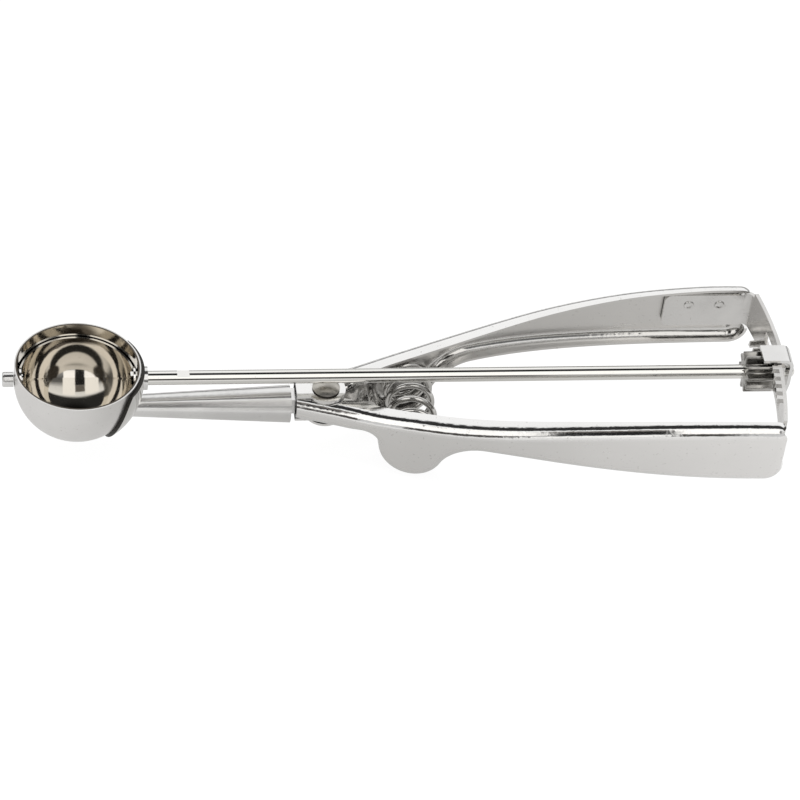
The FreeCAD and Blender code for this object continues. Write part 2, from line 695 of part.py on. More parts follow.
def make_keeper():
    """Bent plate over the racks' top edges and behind their backs, hung on the rod."""
    low = rack_top_z + keeper_gap
    high = low + keeper_sheet
    leg_front = keeper_back - keeper_sheet
    outer = box_between(Vector(keeper_front, -keeper_half_width, keeper_leg_bottom_z),
                        Vector(keeper_back, keeper_half_width, high))
    corner = [edge for edge in outer.Edges
              if abs(edge.CenterOfMass.x - keeper_back) < 0.01
              and abs(edge.CenterOfMass.z - high) < 0.01]
    outer = outer.makeFillet(keeper_bend + keeper_sheet / 2, corner)
    inner = box_between(Vector(keeper_front - 1, -margin, keeper_leg_bottom_z - 1),
                        Vector(leg_front, margin, low))
    corner = [edge for edge in inner.Edges
              if abs(edge.CenterOfMass.x - leg_front) < 0.01
              and abs(edge.CenterOfMass.z - low) < 0.01]
    inner = inner.makeFillet(keeper_bend - keeper_sheet / 2, corner)
    plate = outer.cut(inner)
    tip_z = keeper_leg_bottom_z + keeper_tip_radius
    leg_corners = [Vector(keeper_front - 1, -keeper_half_width, margin),
                   Vector(keeper_front - 1, keeper_half_width, margin),
                   Vector(keeper_front - 1, keeper_half_width, keeper_shoulder_z),
                   Vector(keeper_front - 1, keeper_tip_radius, tip_z),
                   Vector(keeper_front - 1, -keeper_tip_radius, tip_z),
                   Vector(keeper_front - 1, -keeper_half_width, keeper_shoulder_z),
                   Vector(keeper_front - 1, -keeper_half_width, margin)]
    outline = Part.Face(Part.makePolygon(leg_corners)).extrude(Vector(2 * margin, 0, 0))
    tip = along_x(keeper_front, keeper_back + 1, keeper_tip_radius, tip_z)
    plate = plate.common(outline.fuse(tip))
    return tidy(plate.cut(along_x(keeper_front, keeper_back + 1, journal_radius + journal_clearance)))


def web_inside(x):
    """Distance from the rod to the inner face of the web, and its slope, at a place along it."""
    curve = web_curve(ear_sheet)
    line = Part.makeLine(Vector(x, 0, 0), Vector(x, margin, 0))
    distance = curve.toShape().distToShape(line)[1][0][0]
    slope = curve.tangent(curve.parameter(distance))[0]
    return distance.y, slope.y / slope.x


def spring_point(turn, half_length, slope):
    """Middle of the wire after some turns, counted from the squeeze handle's end."""
    coil_radius = spring_outer_radius - spring_wire_radius
    angle = 2 * math.pi * turn
    share = turn / spring_turns
    share -= spring_end_closing * math.sin(2 * math.pi * share) / (2 * math.pi)
    x_offset = coil_radius * math.cos(angle)
    y = (2 * share - 1) * (half_length + slope * x_offset)
    return Vector(spring_x + x_offset, y, spring_z + coil_radius * math.sin(angle))


def biarc(start, start_way, end, end_way):
    """Two arcs that join two points and keep the direction at both."""
    chord = end - start
    ways = start_way + end_way
    bend = 2 * (1 - start_way.dot(end_way))
    reach = (-chord.dot(ways) + math.sqrt(chord.dot(ways) ** 2 + bend * chord.dot(chord))) / bend
    first_corner = start + start_way * reach
    second_corner = end - end_way * reach
    joint = (first_corner + second_corner) * 0.5
    arcs = []
    for a, corner, b in ((start, first_corner, joint), (joint, second_corner, end)):
        middle = (a + b) * 0.5
        half = (b - a).Length / 2
        height = (middle - corner).Length
        towards = (middle - corner).normalize()
        crown = corner + towards * (reach * (reach - half) / height)
        arcs.append(Part.Arc(a, crown, b).toShape())
    return arcs


def make_spring():
    """Compression spring between the two lobes, wider on the side away from the pivot."""
    inside, slope = web_inside(spring_x)
    half_length = inside - spring_wire_radius * math.sqrt(1 + slope ** 2) - spring_end_gap
    tiny = 0.001
    steps = spring_turns * 4

    def way(turn):
        ahead = spring_point(turn + tiny, half_length, slope)
        behind = spring_point(turn - tiny, half_length, slope)
        return (ahead - behind).normalize()

    arcs = []
    for step in range(steps):
        first = step / 4
        last = (step + 1) / 4
        arcs += biarc(spring_point(first, half_length, slope), way(first),
                      spring_point(last, half_length, slope), way(last))
    path = Part.Wire(arcs)
    ring = Part.Wire(Part.makeCircle(spring_wire_radius, spring_point(0, half_length, slope), way(0)))
    pipe = Part.BRepOffsetAPI.MakePipeShell(path)
    pipe.add(ring)
    pipe.build()
    pipe.makeSolid()
    spring = pipe.shape()
    per_turn = 48
    apart = 30
    samples = [spring_point(k / per_turn, half_length, slope) for k in range(spring_turns * per_turn + 1)]
    least = min((samples[i] - samples[j]).Length
                for i in range(len(samples)) for j in range(i + apart, len(samples)))
    print("spring length", round(path.Length, 1), "volume share",
          round(spring.Volume / (path.Length * math.pi * spring_wire_radius ** 2), 4),
          "least gap to itself", round(least - 2 * spring_wire_radius, 2))
    return spring


def make_spring_seat():
    """Round stud inside the web that centres the spring's end, on the +Y side."""
    radius = spring_outer_radius - 2 * spring_wire_radius - seat_clearance
    inside = web_inside(spring_x)[0]
    start = Vector(spring_x, inside - seat_length, spring_z)
    stud = cylinder(start, start + Vector(0, margin, 0), radius)
    return stud.common(plan_region(web_curve(ear_sheet + seat_web_gap), -margin))


os.makedirs("parts", exist_ok=True)
print("tooth pitch", round(tooth_pitch, 3), "mesh radius", round(mesh_radius, 3))
print("pinion from", round(pinion_start, 2), "to", round(pinion_end, 2))
print("row shift", row_shift)

save("bowl", make_bowl())
save("bowl_saddle", make_saddle())
save("shaft_bush", make_bush())
save("scraper_blade", make_blade())
save("blade_pin", make_blade_pin())
save("rod", make_rod())
save("ferrule", make_ferrule())
save("handle_tongue", make_tongue())
save("pivot_rivet", make_rivet())
save("pivot_washer", make_washer())
save("fixed_handle", make_handle(fixed_ear_half_height, fixed_ear_radius, True))
save("squeeze_handle", mirrored(make_handle(squeeze_ear_half_height, squeeze_ear_radius, False)))
save("fixed_rack", make_rack(fixed_rack_radius, fixed_rack_bottom_z, -1, fixed_rack_teeth))
save("squeeze_rack", mirrored(make_rack(squeeze_rack_radius, squeeze_rack_bottom_z, 1,
                                        squeeze_rack_teeth)))
save("fixed_rack_welds", make_welds(fixed_rack_radius))
save("squeeze_rack_welds", mirrored(make_welds(squeeze_rack_radius)))
save("pinion", make_pinion())
save("keeper", make_keeper())
save("return_spring", make_spring())
save("fixed_spring_seat", make_spring_seat())
save("squeeze_spring_seat", mirrored(make_spring_seat()))
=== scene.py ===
# %% [markdown]
# # Lever ice cream scoop
# A round bowl sits at one end of a long rod, two sprung handles at the other. Squeezing the near handle
# drives a toothed arc past a pinion on the rod, and the rod turns a curved blade through the bowl. Nearly
# everything is bare stainless steel, so the scene is about reflections: which faces are mirrors, which are
# satin, and what dark and bright things stand around them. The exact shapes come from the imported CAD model.
# This script gives every piece its finish and builds the pieces that need a finer form than a CAD solid
# has.

# %% Load the CAD model as a fixed frame
import bpy
import bmesh
import math
from mathutils import Matrix, Vector


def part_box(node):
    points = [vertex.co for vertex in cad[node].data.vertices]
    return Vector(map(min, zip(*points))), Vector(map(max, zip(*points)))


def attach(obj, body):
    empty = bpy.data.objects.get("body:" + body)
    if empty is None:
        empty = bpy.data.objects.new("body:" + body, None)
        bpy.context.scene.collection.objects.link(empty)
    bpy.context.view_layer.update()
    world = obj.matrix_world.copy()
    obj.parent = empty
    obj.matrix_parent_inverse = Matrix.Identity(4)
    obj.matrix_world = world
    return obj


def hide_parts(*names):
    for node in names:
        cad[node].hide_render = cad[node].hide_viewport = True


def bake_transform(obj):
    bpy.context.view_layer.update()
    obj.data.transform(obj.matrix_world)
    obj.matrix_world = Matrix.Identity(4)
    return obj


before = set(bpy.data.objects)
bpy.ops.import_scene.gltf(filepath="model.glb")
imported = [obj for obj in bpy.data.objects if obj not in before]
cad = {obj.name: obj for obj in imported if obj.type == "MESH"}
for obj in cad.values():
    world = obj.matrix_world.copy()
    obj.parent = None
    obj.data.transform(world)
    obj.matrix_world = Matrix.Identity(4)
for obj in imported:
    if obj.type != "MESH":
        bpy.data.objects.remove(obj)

scene = bpy.context.scene
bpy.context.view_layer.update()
MM = 0.001

# %% [markdown]
# ## Camera
# The photograph looks down at about 44 degrees, a little from the left, with a long lens. These values come
# from a least squares fit to points read from the photograph, such as the ends of the rod and the corners
# of the handles, with the sizes of the pieces estimated beforehand. Longer distances fit nearly as well, so
# the distance and the lens are its weakest values. The camera is placed by turning back from the point it
# looks at, and a small roll tips the whole scoop down to the right.

# %% Place the camera
CAMERA_AZIMUTH = math.radians(11.994)
CAMERA_ELEVATION = math.radians(43.907)
CAMERA_ROLL = math.radians(7.703)
CAMERA_DISTANCE = 0.95424
LOOK_AT = Vector((-0.002302, -0.009299, 0.0232))
SENSOR_MM = 36.0
FOCAL_MM = 164.484

forward = Vector((math.sin(CAMERA_AZIMUTH) * math.cos(CAMERA_ELEVATION),
                  math.cos(CAMERA_AZIMUTH) * math.cos(CAMERA_ELEVATION),
                  -math.sin(CAMERA_ELEVATION)))
level_right = Vector((math.cos(CAMERA_AZIMUTH), -math.sin(CAMERA_AZIMUTH), 0.0))
level_up = level_right.cross(forward)
right = level_right * math.cos(CAMERA_ROLL) + level_up * math.sin(CAMERA_ROLL)
up = level_up * math.cos(CAMERA_ROLL) - level_right * math.sin(CAMERA_ROLL)

lens = bpy.data.cameras.new("photo_lens")
lens.sensor_width = SENSOR_MM
lens.lens = FOCAL_MM
lens.clip_start = 0.01
lens.clip_end = 20.0
camera = bpy.data.objects.new("photo_camera", lens)
scene.collection.objects.link(camera)
turn = Matrix((right, up, -forward)).transposed().to_4x4()
camera.matrix_world = Matrix.Translation(LOOK_AT - forward * CAMERA_DISTANCE) @ turn
scene.camera = camera
print("camera at", [round(v, 3) for v in camera.matrix_world.translation], "m, lens", FOCAL_MM, "mm")

# %% [markdown]
# ## Node helpers
# Materials, shader groups and Geometry Nodes trees are all made of nodes and links. A few small helpers
# keep the cells short: they add a node with its settings and input values, do one step of arithmetic, blend
# two colours, or make a group with named sockets.

# %% Helpers for nodes
def add(tree, kind, inputs=None, **settings):
    """Add a node, set its properties, and fill or link its inputs by name or number."""
    node = tree.nodes.new(kind)
    for key, value in settings.items():
        setattr(node, key, value)
    for key, value in (inputs or {}).items():
        if isinstance(value, bpy.types.NodeSocket):
            tree.links.new(value, node.inputs[key])
        else:
            node.inputs[key].default_value = value
    return node


def number(tree, operation, first, second=0.0, third=0.0, clamp=False):
    """One step of arithmetic; every value may be a number or a socket."""
    return add(tree, "ShaderNodeMath", {0: first, 1: second, 2: third},
               operation=operation, use_clamp=clamp).outputs[0]


def step_between(tree, value, low, high):
    """0 below low, 1 above high and smooth between them."""
    return add(tree, "ShaderNodeMapRange", {"Value": value, "From Min": low, "From Max": high},
               interpolation_type="SMOOTHSTEP").outputs["Result"]


def mixed(tree, factor, first, second):
    """Mix two colours, each a tuple or a socket."""
    node = add(tree, "ShaderNodeMix", {0: factor, 6: first, 7: second}, data_type="RGBA")
    return node.outputs[2]


def new_group(name, inputs, outputs, kind="ShaderNodeTree"):
    """Node group with named inputs and outputs; a default of None leaves the socket's own."""
    group = bpy.data.node_groups.new(name, kind)
    for label, socket, default in inputs:
        made = group.interface.new_socket(label, in_out="INPUT", socket_type=socket)
        if default is not None:
            made.default_value = default
    for label, socket in outputs:
        group.interface.new_socket(label, in_out="OUTPUT", socket_type=socket)
    return group, group.nodes.new("NodeGroupInput"), group.nodes.new("NodeGroupOutput")


print("helpers ready")

# %% [markdown]
# ## The studio
# Polished steel has no look of its own: it shows its surroundings. The reflections in the photograph
# suggest a white tent with a dark gap for the camera, two window-like lights beside it and a dark gap
# behind the top light. The world is painted by direction for mirror reflections only, while soft light
# reaches the scoop evenly from everywhere. Camera rays see plain white.

# %% Paint the world for reflections
def angle_ramp(tree, angle, stops):
    """Brightness that depends on an angle in degrees, from a list of (angle, brightness)."""
    share = number(tree, "DIVIDE", angle, 360.0)
    ramp = tree.nodes.new("ShaderNodeValToRGB")
    ramp.color_ramp.interpolation = "LINEAR"
    ramp.color_ramp.elements[0].position = stops[0][0] / 360.0
    ramp.color_ramp.elements[0].color = (stops[0][1],) * 3 + (1.0,)
    ramp.color_ramp.elements[1].position = stops[-1][0] / 360.0
    ramp.color_ramp.elements[1].color = (stops[-1][1],) * 3 + (1.0,)
    for place, level in stops[1:-1]:
        made = ramp.color_ramp.elements.new(place / 360.0)
        made.color = (level,) * 3 + (1.0,)
    tree.links.new(share, ramp.inputs["Fac"])
    return ramp.outputs["Color"]


# Angle about the scoop's length: 0 is level in front, 90 overhead, 180 level behind
TENT_STOPS = [(0, 0.64), (20, 0.66), (32, 0.3), (40, 0.14), (50, 0.14), (56, 0.5), (62, 0.9), (78, 1.05),
              (82, 0.03), (113, 0.03), (118, 0.98), (150, 1.08), (160, 0.95), (168, 0.25), (185, 0.15),
              (200, 0.2), (270, 0.08), (310, 0.4), (340, 0.6), (359, 0.64)]

world = bpy.data.worlds.new("white_tent")
scene.world = world
world.use_nodes = True
tree = world.node_tree
tree.nodes.clear()
coords = tree.nodes.new("ShaderNodeTexCoord")
axes = add(tree, "ShaderNodeSeparateXYZ", {0: coords.outputs["Generated"]})
front = number(tree, "MULTIPLY", axes.outputs["Y"], -1.0)
turn_angle = number(tree, "ARCTAN2", axes.outputs["Z"], front)
degrees = number(tree, "MULTIPLY", turn_angle, 180.0 / math.pi)
below_level = number(tree, "LESS_THAN", degrees, 0.0)
around = number(tree, "ADD", degrees, number(tree, "MULTIPLY", below_level, 360.0))
tent = angle_ramp(tree, around, TENT_STOPS)


def between(tree, value, low, high, soft):
    """1 between two values and 0 outside, with soft ends."""
    rising = step_between(tree, value, low - soft, low + soft)
    falling = step_between(tree, value, high - soft, high + soft)
    return number(tree, "MULTIPLY", rising, number(tree, "SUBTRACT", 1.0, falling))


# Patches painted over the bands. Each has a span sideways from the camera, a span of the angle about the
# scoop's length, both as (start, end, softness), and a colour: the camera's dark gap in two parts, the
# windows beside it, the shade beside the low light, and the low light in front.
CAMERA_X = -0.15
PATCHES = [((-1.0, 0.155, 0.01), (24.0, 57.0, 1.0), (0.02, 0.02, 0.02, 1.0)),
           ((-1.0, 0.155, 0.01), (57.0, 70.0, 1.0), (0.17, 0.155, 0.14, 1.0)),
           ((0.165, 0.56, 0.015), (27.0, 76.0, 1.5), (1.25, 1.23, 1.2, 1.0)),
           ((0.18, 0.34, 0.01), (1.0, 24.0, 1.0), (0.06, 0.055, 0.05, 1.0)),
           ((-1.0, 0.18, 0.01), (1.0, 20.0, 1.0), (1.05, 1.04, 1.02, 1.0))]
DARK_ENDS = (0.05, 0.045, 0.04, 1.0)
DARK_ENDS_FROM, DARK_ENDS_FULL = 0.80, 0.86
from_camera = number(tree, "ABSOLUTE", number(tree, "SUBTRACT", axes.outputs["X"], CAMERA_X))
side = number(tree, "ABSOLUTE", axes.outputs["X"])
layers = []
for sideways, turned_by, colour in PATCHES:
    patch = number(tree, "MULTIPLY", between(tree, from_camera, *sideways), between(tree, around, *turned_by))
    layers.append((patch, colour))
layers.append((step_between(tree, side, DARK_ENDS_FROM, DARK_ENDS_FULL), DARK_ENDS))
with_ends = tent
for where, colour in layers:
    with_ends = mixed(tree, where, with_ends, colour)

rays = tree.nodes.new("ShaderNodeLightPath")
seen_by_mirrors = mixed(tree, rays.outputs["Is Glossy Ray"], (0.85, 0.85, 0.85, 1.0), with_ends)
seen = mixed(tree, rays.outputs["Is Camera Ray"], seen_by_mirrors, (1.0, 1.0, 1.0, 1.0))
background = add(tree, "ShaderNodeBackground", {"Color": seen, "Strength": 1.0})
world_out = tree.nodes.new("ShaderNodeOutputWorld")
tree.links.new(background.outputs[0], world_out.inputs["Surface"])
print("world painted with", len(TENT_STOPS), "bands")

# %% Floor and soft key light
FLOOR_HALF = 3.0
FLOOR_GAP = 0.2 * MM
floor_mesh = bpy.data.meshes.new("paper_floor")
floor_mesh.from_pydata([(-FLOOR_HALF, -FLOOR_HALF, 0), (FLOOR_HALF, -FLOOR_HALF, 0),
                        (FLOOR_HALF, FLOOR_HALF, 0), (-FLOOR_HALF, FLOOR_HALF, 0)], [], [(0, 1, 2, 3)])
floor = bpy.data.objects.new("paper_floor", floor_mesh)
scene.collection.objects.link(floor)
floor.location.z = -FLOOR_GAP

paper = bpy.data.materials.new("white_paper")
paper.use_nodes = True
tree = paper.node_tree
tree.nodes.clear()
rays = tree.nodes.new("ShaderNodeLightPath")
coords = tree.nodes.new("ShaderNodeTexCoord")
away = add(tree, "ShaderNodeVectorMath", {0: coords.outputs["Object"]}, operation="LENGTH").outputs["Value"]
# Close to the scoop the paper lies in the scoop's shade, which mirrors show as a darker band
SHADE_REACH = 0.16
shade = step_between(tree, away, 0.0, SHADE_REACH)
paper_in_mirror = mixed(tree, shade, (0.52, 0.515, 0.505, 1.0), (0.86, 0.855, 0.85, 1.0))
seen = mixed(tree, rays.outputs["Is Glossy Ray"], (0.90, 0.90, 0.90, 1.0), paper_in_mirror)
glow = add(tree, "ShaderNodeEmission", {"Color": seen, "Strength": 1.0})
soft = add(tree, "ShaderNodeBsdfDiffuse", {"Color": (0.16, 0.16, 0.16, 1.0)})
both = tree.nodes.new("ShaderNodeAddShader")
tree.links.new(glow.outputs[0], both.inputs[0])
tree.links.new(soft.outputs[0], both.inputs[1])
only_glow = add(tree, "ShaderNodeMixShader", {0: rays.outputs["Is Glossy Ray"]})
tree.links.new(both.outputs[0], only_glow.inputs[1])
tree.links.new(glow.outputs[0], only_glow.inputs[2])
paper_out = tree.nodes.new("ShaderNodeOutputMaterial")
tree.links.new(only_glow.outputs[0], paper_out.inputs["Surface"])
floor_mesh.materials.append(paper)

key_data = bpy.data.lights.new("key_light", "AREA")
key_data.shape = "RECTANGLE"
key_data.size = 0.9
key_data.size_y = 0.7
key_data.energy = 6.0
key = bpy.data.objects.new("key_light", key_data)
scene.collection.objects.link(key)
key.location = (-0.25, 0.35, 1.1)
key.rotation_euler = (Vector((0, 0, 0)) - key.location).to_track_quat("-Z", "Y").to_euler()
key.visible_glossy = False
scene.view_settings.view_transform = "Standard"
print("floor and light in place")

# %% [markdown]
# ## What steel needs
# Two effects make bare steel read as real metal. Rolled and ground sheet carries fine streaks along its
# length, and a handled tool has soft cloudy marks that change its gloss from place to place. Both are
# shader groups, so each finish below uses them with its own sizes. They read Object coordinates, so they
# stay on the piece.

# %% Shader groups for streaks and marks
streaks, source, result = new_group(
    "grinding_streaks",
    [("Vector", "NodeSocketVector", None), ("Fineness", "NodeSocketFloat", 900.0),
     ("Length", "NodeSocketFloat", 12.0)],
    [("Streaks", "NodeSocketFloat")])
squeezed = add(streaks, "ShaderNodeCombineXYZ",
               {"X": number(streaks, "DIVIDE", 1.0, source.outputs["Length"]), "Y": 1.0, "Z": 1.0})
stretched = add(streaks, "ShaderNodeVectorMath", {0: source.outputs["Vector"], 1: squeezed.outputs[0]},
                operation="MULTIPLY")
lines = add(streaks, "ShaderNodeTexNoise",
            {"Vector": stretched.outputs[0], "Scale": source.outputs["Fineness"], "Detail": 4.0,
             "Roughness": 0.6})
sharper = step_between(streaks, lines.outputs["Fac"], 0.3, 0.7)
streaks.links.new(sharper, result.inputs["Streaks"])

marks, source, result = new_group(
    "handling_marks",
    [("Vector", "NodeSocketVector", None), ("Size", "NodeSocketFloat", 60.0)],
    [("Clouds", "NodeSocketFloat"), ("Specks", "NodeSocketFloat")])
clouds = add(marks, "ShaderNodeTexNoise",
             {"Vector": source.outputs["Vector"], "Scale": source.outputs["Size"], "Detail": 3.0,
              "Roughness": 0.55})
marks.links.new(step_between(marks, clouds.outputs["Fac"], 0.35, 0.65), result.inputs["Clouds"])
speck_scale = number(marks, "MULTIPLY", source.outputs["Size"], 26.0)
dots = add(marks, "ShaderNodeTexNoise", {"Vector": source.outputs["Vector"], "Scale": speck_scale,
                                         "Detail": 2.0, "Roughness": 0.5})
marks.links.new(step_between(marks, dots.outputs["Fac"], 0.66, 0.74), result.inputs["Specks"])
print("groups:", streaks.name, marks.name)

# %% [markdown]
# ## Finishes
# One function builds a steel: a base tone with cloudy variation, a roughness that the streaks and clouds
# push up and down, and a shallow bump. A mask can blend it towards a second tone and roughness, which is
# how one piece gets a satin outside and a mirror inside.

# %% Steel maker
CLOUD_SHADE = 1.6
SPECK_SHARE = 0.25
SPECK_TONE = (0.25, 0.23, 0.21, 1.0)
RELIEF_DEPTH = 0.2 * MM


def steel(name, tone, rough, streak=0.0, fineness=900.0, length=12.0, cloud=0.06, size=60.0,
          bump=0.02, mask=None, other_tone=None, other_rough=None, shade_and_tone_masks=()):
    """Bare steel. mask(tree, coords) gives where the other tone and roughness show, and each darkening is a
    mask with the colour that the steel is multiplied by there, used for painted shade and a duller tone."""
    made = bpy.data.materials.new(name)
    made.use_nodes = True
    tree = made.node_tree
    shader = tree.nodes["Principled BSDF"]
    coords = tree.nodes.new("ShaderNodeTexCoord")
    place = coords.outputs["Object"]
    grain = add(tree, "ShaderNodeGroup", node_tree=streaks)
    tree.links.new(place, grain.inputs["Vector"])
    grain.inputs["Fineness"].default_value = fineness
    grain.inputs["Length"].default_value = length
    wear = add(tree, "ShaderNodeGroup", node_tree=marks)
    tree.links.new(place, wear.inputs["Vector"])
    wear.inputs["Size"].default_value = size
    dimming = 1.0 - CLOUD_SHADE * cloud
    base, gloss = tone + (1.0,), rough
    darker = tuple(c * dimming for c in tone) + (1.0,)
    if mask:
        where = mask(tree, coords)
        base = mixed(tree, where, tone + (1.0,), other_tone + (1.0,))
        gloss = add(tree, "ShaderNodeMapRange", {"Value": where, "To Min": rough,
                                                 "To Max": other_rough}).outputs["Result"]
        darker = add(tree, "ShaderNodeMix", {0: 1.0, 6: base, 7: (dimming,) * 3 + (1.0,)},
                     data_type="RGBA", blend_type="MULTIPLY").outputs[2]
    cloudy = mixed(tree, wear.outputs["Clouds"], base, darker)
    speckled = mixed(tree, number(tree, "MULTIPLY", wear.outputs["Specks"], SPECK_SHARE), cloudy, SPECK_TONE)
    # Each darkening multiplies the colour: painted shade in recesses and gaps, with a duller tone in the
    # handle's channel.
    for darkening, colour in shade_and_tone_masks:
        speckled = add(tree, "ShaderNodeMix", {0: darkening(tree, coords), 6: speckled, 7: colour + (1.0,)},
                       data_type="RGBA", blend_type="MULTIPLY").outputs[2]
    tree.links.new(speckled, shader.inputs["Base Color"])
    pushed = number(tree, "MULTIPLY_ADD", grain.outputs["Streaks"], streak, gloss)
    pushed = number(tree, "MULTIPLY_ADD", wear.outputs["Clouds"], cloud, pushed, clamp=True)
    tree.links.new(pushed, shader.inputs["Roughness"])
    relief = add(tree, "ShaderNodeBump", {"Strength": bump, "Distance": RELIEF_DEPTH,
                                          "Height": grain.outputs["Streaks"]})
    tree.links.new(relief.outputs[0], shader.inputs["Normal"])
    shader.inputs["Metallic"].default_value = 1.0
    return made


def finish(node_name, material):
    """Give a CAD node its material in every slot."""
    slots = cad[node_name].data.materials
    if not slots:
        slots.append(material)
    for index in range(len(slots)):
        slots[index] = material


print("steel maker ready")

# %% [markdown]
# ### Handles
# The handles are pressed from sheet. Their broad outer faces are satin, while the flanges and the long bend
# are polished and mirror the tent in sharp bands. The object's own normals tell the two apart: a broad face
# points sideways, a flange up or down. The channel's inside is darker: painted shade and a duller tone.

# %% Handle finish
def satin_side(tree, coords):
    """1 on the broad outer face of a handle, 0 on its bend and flanges."""
    way = add(tree, "ShaderNodeSeparateXYZ", {0: coords.outputs["Normal"]})
    upright = number(tree, "ABSOLUTE", way.outputs["Z"])
    return number(tree, "SUBTRACT", 1.0, step_between(tree, upright, 0.10, 0.32))


# Painted shade: the channel's inside is darkened as a recess in shade, together with a slightly duller tone.
def channel_inside(tree, coords):
    """1 on the faces that look into the channel, towards the rod."""
    way = add(tree, "ShaderNodeSeparateXYZ", {0: coords.outputs["Normal"]})
    spot = add(tree, "ShaderNodeSeparateXYZ", {0: coords.outputs["Object"]})
    outward = number(tree, "MULTIPLY", way.outputs["Y"], number(tree, "SIGN", spot.outputs["Y"]))
    return number(tree, "SUBTRACT", 1.0, step_between(tree, outward, -0.55, -0.25))


HANDLE_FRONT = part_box("squeeze_handle")[0].x


# Painted shadow: the front ends are made near black for the shade in the gap behind the ferrule.
def front_face(tree, coords):
    """1 on the front ends, painted near black as the shadow in the gap behind the ferrule."""
    way = add(tree, "ShaderNodeSeparateXYZ", {0: coords.outputs["Normal"]})
    spot = add(tree, "ShaderNodeSeparateXYZ", {0: coords.outputs["Object"]})
    towards = number(tree, "SUBTRACT", 1.0, step_between(tree, way.outputs["X"], -0.9, -0.7))
    near = number(tree, "SUBTRACT", 1.0, step_between(tree, spot.outputs["X"], HANDLE_FRONT + 3.0 * MM,
                                                      HANDLE_FRONT + 4.0 * MM))
    return number(tree, "MULTIPLY", towards, near)


handle_steel = steel("handle_steel", (0.86, 0.855, 0.845), 0.07, streak=0.04, fineness=700.0, length=18.0,
                     cloud=0.02, size=45.0, bump=0.012, mask=satin_side, other_tone=(0.86, 0.85, 0.835),
                     other_rough=0.27, shade_and_tone_masks=((channel_inside, (0.78, 0.775, 0.765)),
                                               (front_face, (0.05, 0.05, 0.05))))
for name in ("fixed_handle", "squeeze_handle"):
    finish(name, handle_steel)
seat_steel = steel("seat_steel", (0.62, 0.61, 0.60), 0.25, streak=0.08, cloud=0.05)
for name in ("fixed_spring_seat", "squeeze_spring_seat"):
    finish(name, seat_steel)
print("handles:", handle_steel.name)

# %% [markdown]
# ### Bowl, saddle and blade
# The bowl is spun from sheet, satin outside and mirror polished inside, with a slightly warm tone where it
# reflects itself over and over. The distance from the middle of its ball tells inside from outside. The
# saddle's cut edge looks dark in the photograph, and the normals find it: there the surface looks sideways
# instead of straight away from the ball.

# %% Bowl centre from the CAD box
bowl_low, bowl_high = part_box("bowl")
BOWL_RADIUS = (bowl_high.x - bowl_low.x) / 2
BOWL_WALL = 0.8 * MM
BOWL_CENTRE = Vector(((bowl_low.x + bowl_high.x) / 2, 0.0, bowl_low.z + BOWL_RADIUS))
print("bowl radius", round(BOWL_RADIUS / MM, 2), "mm, centre", [round(v / MM, 2) for v in BOWL_CENTRE])


# %% Bowl finishes
def from_ball(tree, coords):
    """Vector from the ball's middle, with the height above the collar's start left out."""
    shifted = add(tree, "ShaderNodeVectorMath", {0: coords.outputs["Object"], 1: BOWL_CENTRE},
                  operation="SUBTRACT").outputs["Vector"]
    parts = add(tree, "ShaderNodeSeparateXYZ", {0: shifted})
    low = number(tree, "MINIMUM", parts.outputs["Z"], 0.0)
    return add(tree, "ShaderNodeCombineXYZ", {"X": parts.outputs["X"], "Y": parts.outputs["Y"],
                                              "Z": low}).outputs[0]


def reach_from_ball(tree, coords):
    """Distance from the ball's middle, or from its axis in the collar."""
    away = from_ball(tree, coords)
    return add(tree, "ShaderNodeVectorMath", {0: away}, operation="LENGTH").outputs["Value"]


def inside_bowl(tree, coords):
    """1 on the bowl's inner face, 0 on its outer face."""
    reach = reach_from_ball(tree, coords)
    middle = BOWL_RADIUS - BOWL_WALL / 2
    return number(tree, "SUBTRACT", 1.0, step_between(tree, reach, middle - 0.1 * MM, middle + 0.1 * MM))


def rim_lip(tree, coords):
    """1 on the inner part of the rim's flat edge, which is painted near black as shade."""
    way = add(tree, "ShaderNodeSeparateXYZ", {0: coords.outputs["Normal"]})
    reach = reach_from_ball(tree, coords)
    inner = number(tree, "SUBTRACT", 1.0, step_between(tree, reach, BOWL_RADIUS - 0.40 * MM,
                                                       BOWL_RADIUS - 0.30 * MM))
    return number(tree, "MULTIPLY", inner, step_between(tree, way.outputs["Z"], 0.9, 0.97))


def cut_edge(tree, coords):
    """1 where the surface looks sideways to the ball, as on a cut edge."""
    away = add(tree, "ShaderNodeVectorMath", {0: from_ball(tree, coords)}, operation="NORMALIZE")
    agree = add(tree, "ShaderNodeVectorMath", {0: away.outputs["Vector"], 1: coords.outputs["Normal"]},
                operation="DOT_PRODUCT").outputs["Value"]
    return number(tree, "SUBTRACT", 1.0, step_between(tree, number(tree, "ABSOLUTE", agree), 0.45, 0.75))


# Painted shade: the rim_lip mask paints the rim's inner flat edge near black.
bowl_steel = steel("bowl_steel", (0.77, 0.76, 0.745), 0.27, streak=0.05, fineness=500.0, length=6.0,
                   cloud=0.03, bump=0.012, mask=inside_bowl, other_tone=(0.66, 0.62, 0.55), other_rough=0.03,
                   shade_and_tone_masks=((rim_lip, (0.14, 0.13, 0.12)),))
blade_steel = steel("blade_steel", (0.76, 0.72, 0.66), 0.05, streak=0.02, cloud=0.03, bump=0.01,
                    mask=cut_edge, other_tone=(0.92, 0.91, 0.89), other_rough=0.12)
saddle_steel = steel("saddle_steel", (0.72, 0.71, 0.69), 0.12, streak=0.04, cloud=0.05,
                     mask=cut_edge, other_tone=(0.05, 0.048, 0.045), other_rough=0.35)
finish("bowl", bowl_steel)
finish("scraper_blade", blade_steel)
finish("bowl_saddle", saddle_steel)
print("bowl set:", bowl_steel.name, blade_steel.name, saddle_steel.name)

# %% [markdown]
# ### Rod, ferrule and the small fittings
# The rod is drawn and polished, so its streaks run along it and its reflections are long clean lines. The
# ferrule is rolled from sheet and a little softer. The racks are plain pressed strip, the keeper is bright.

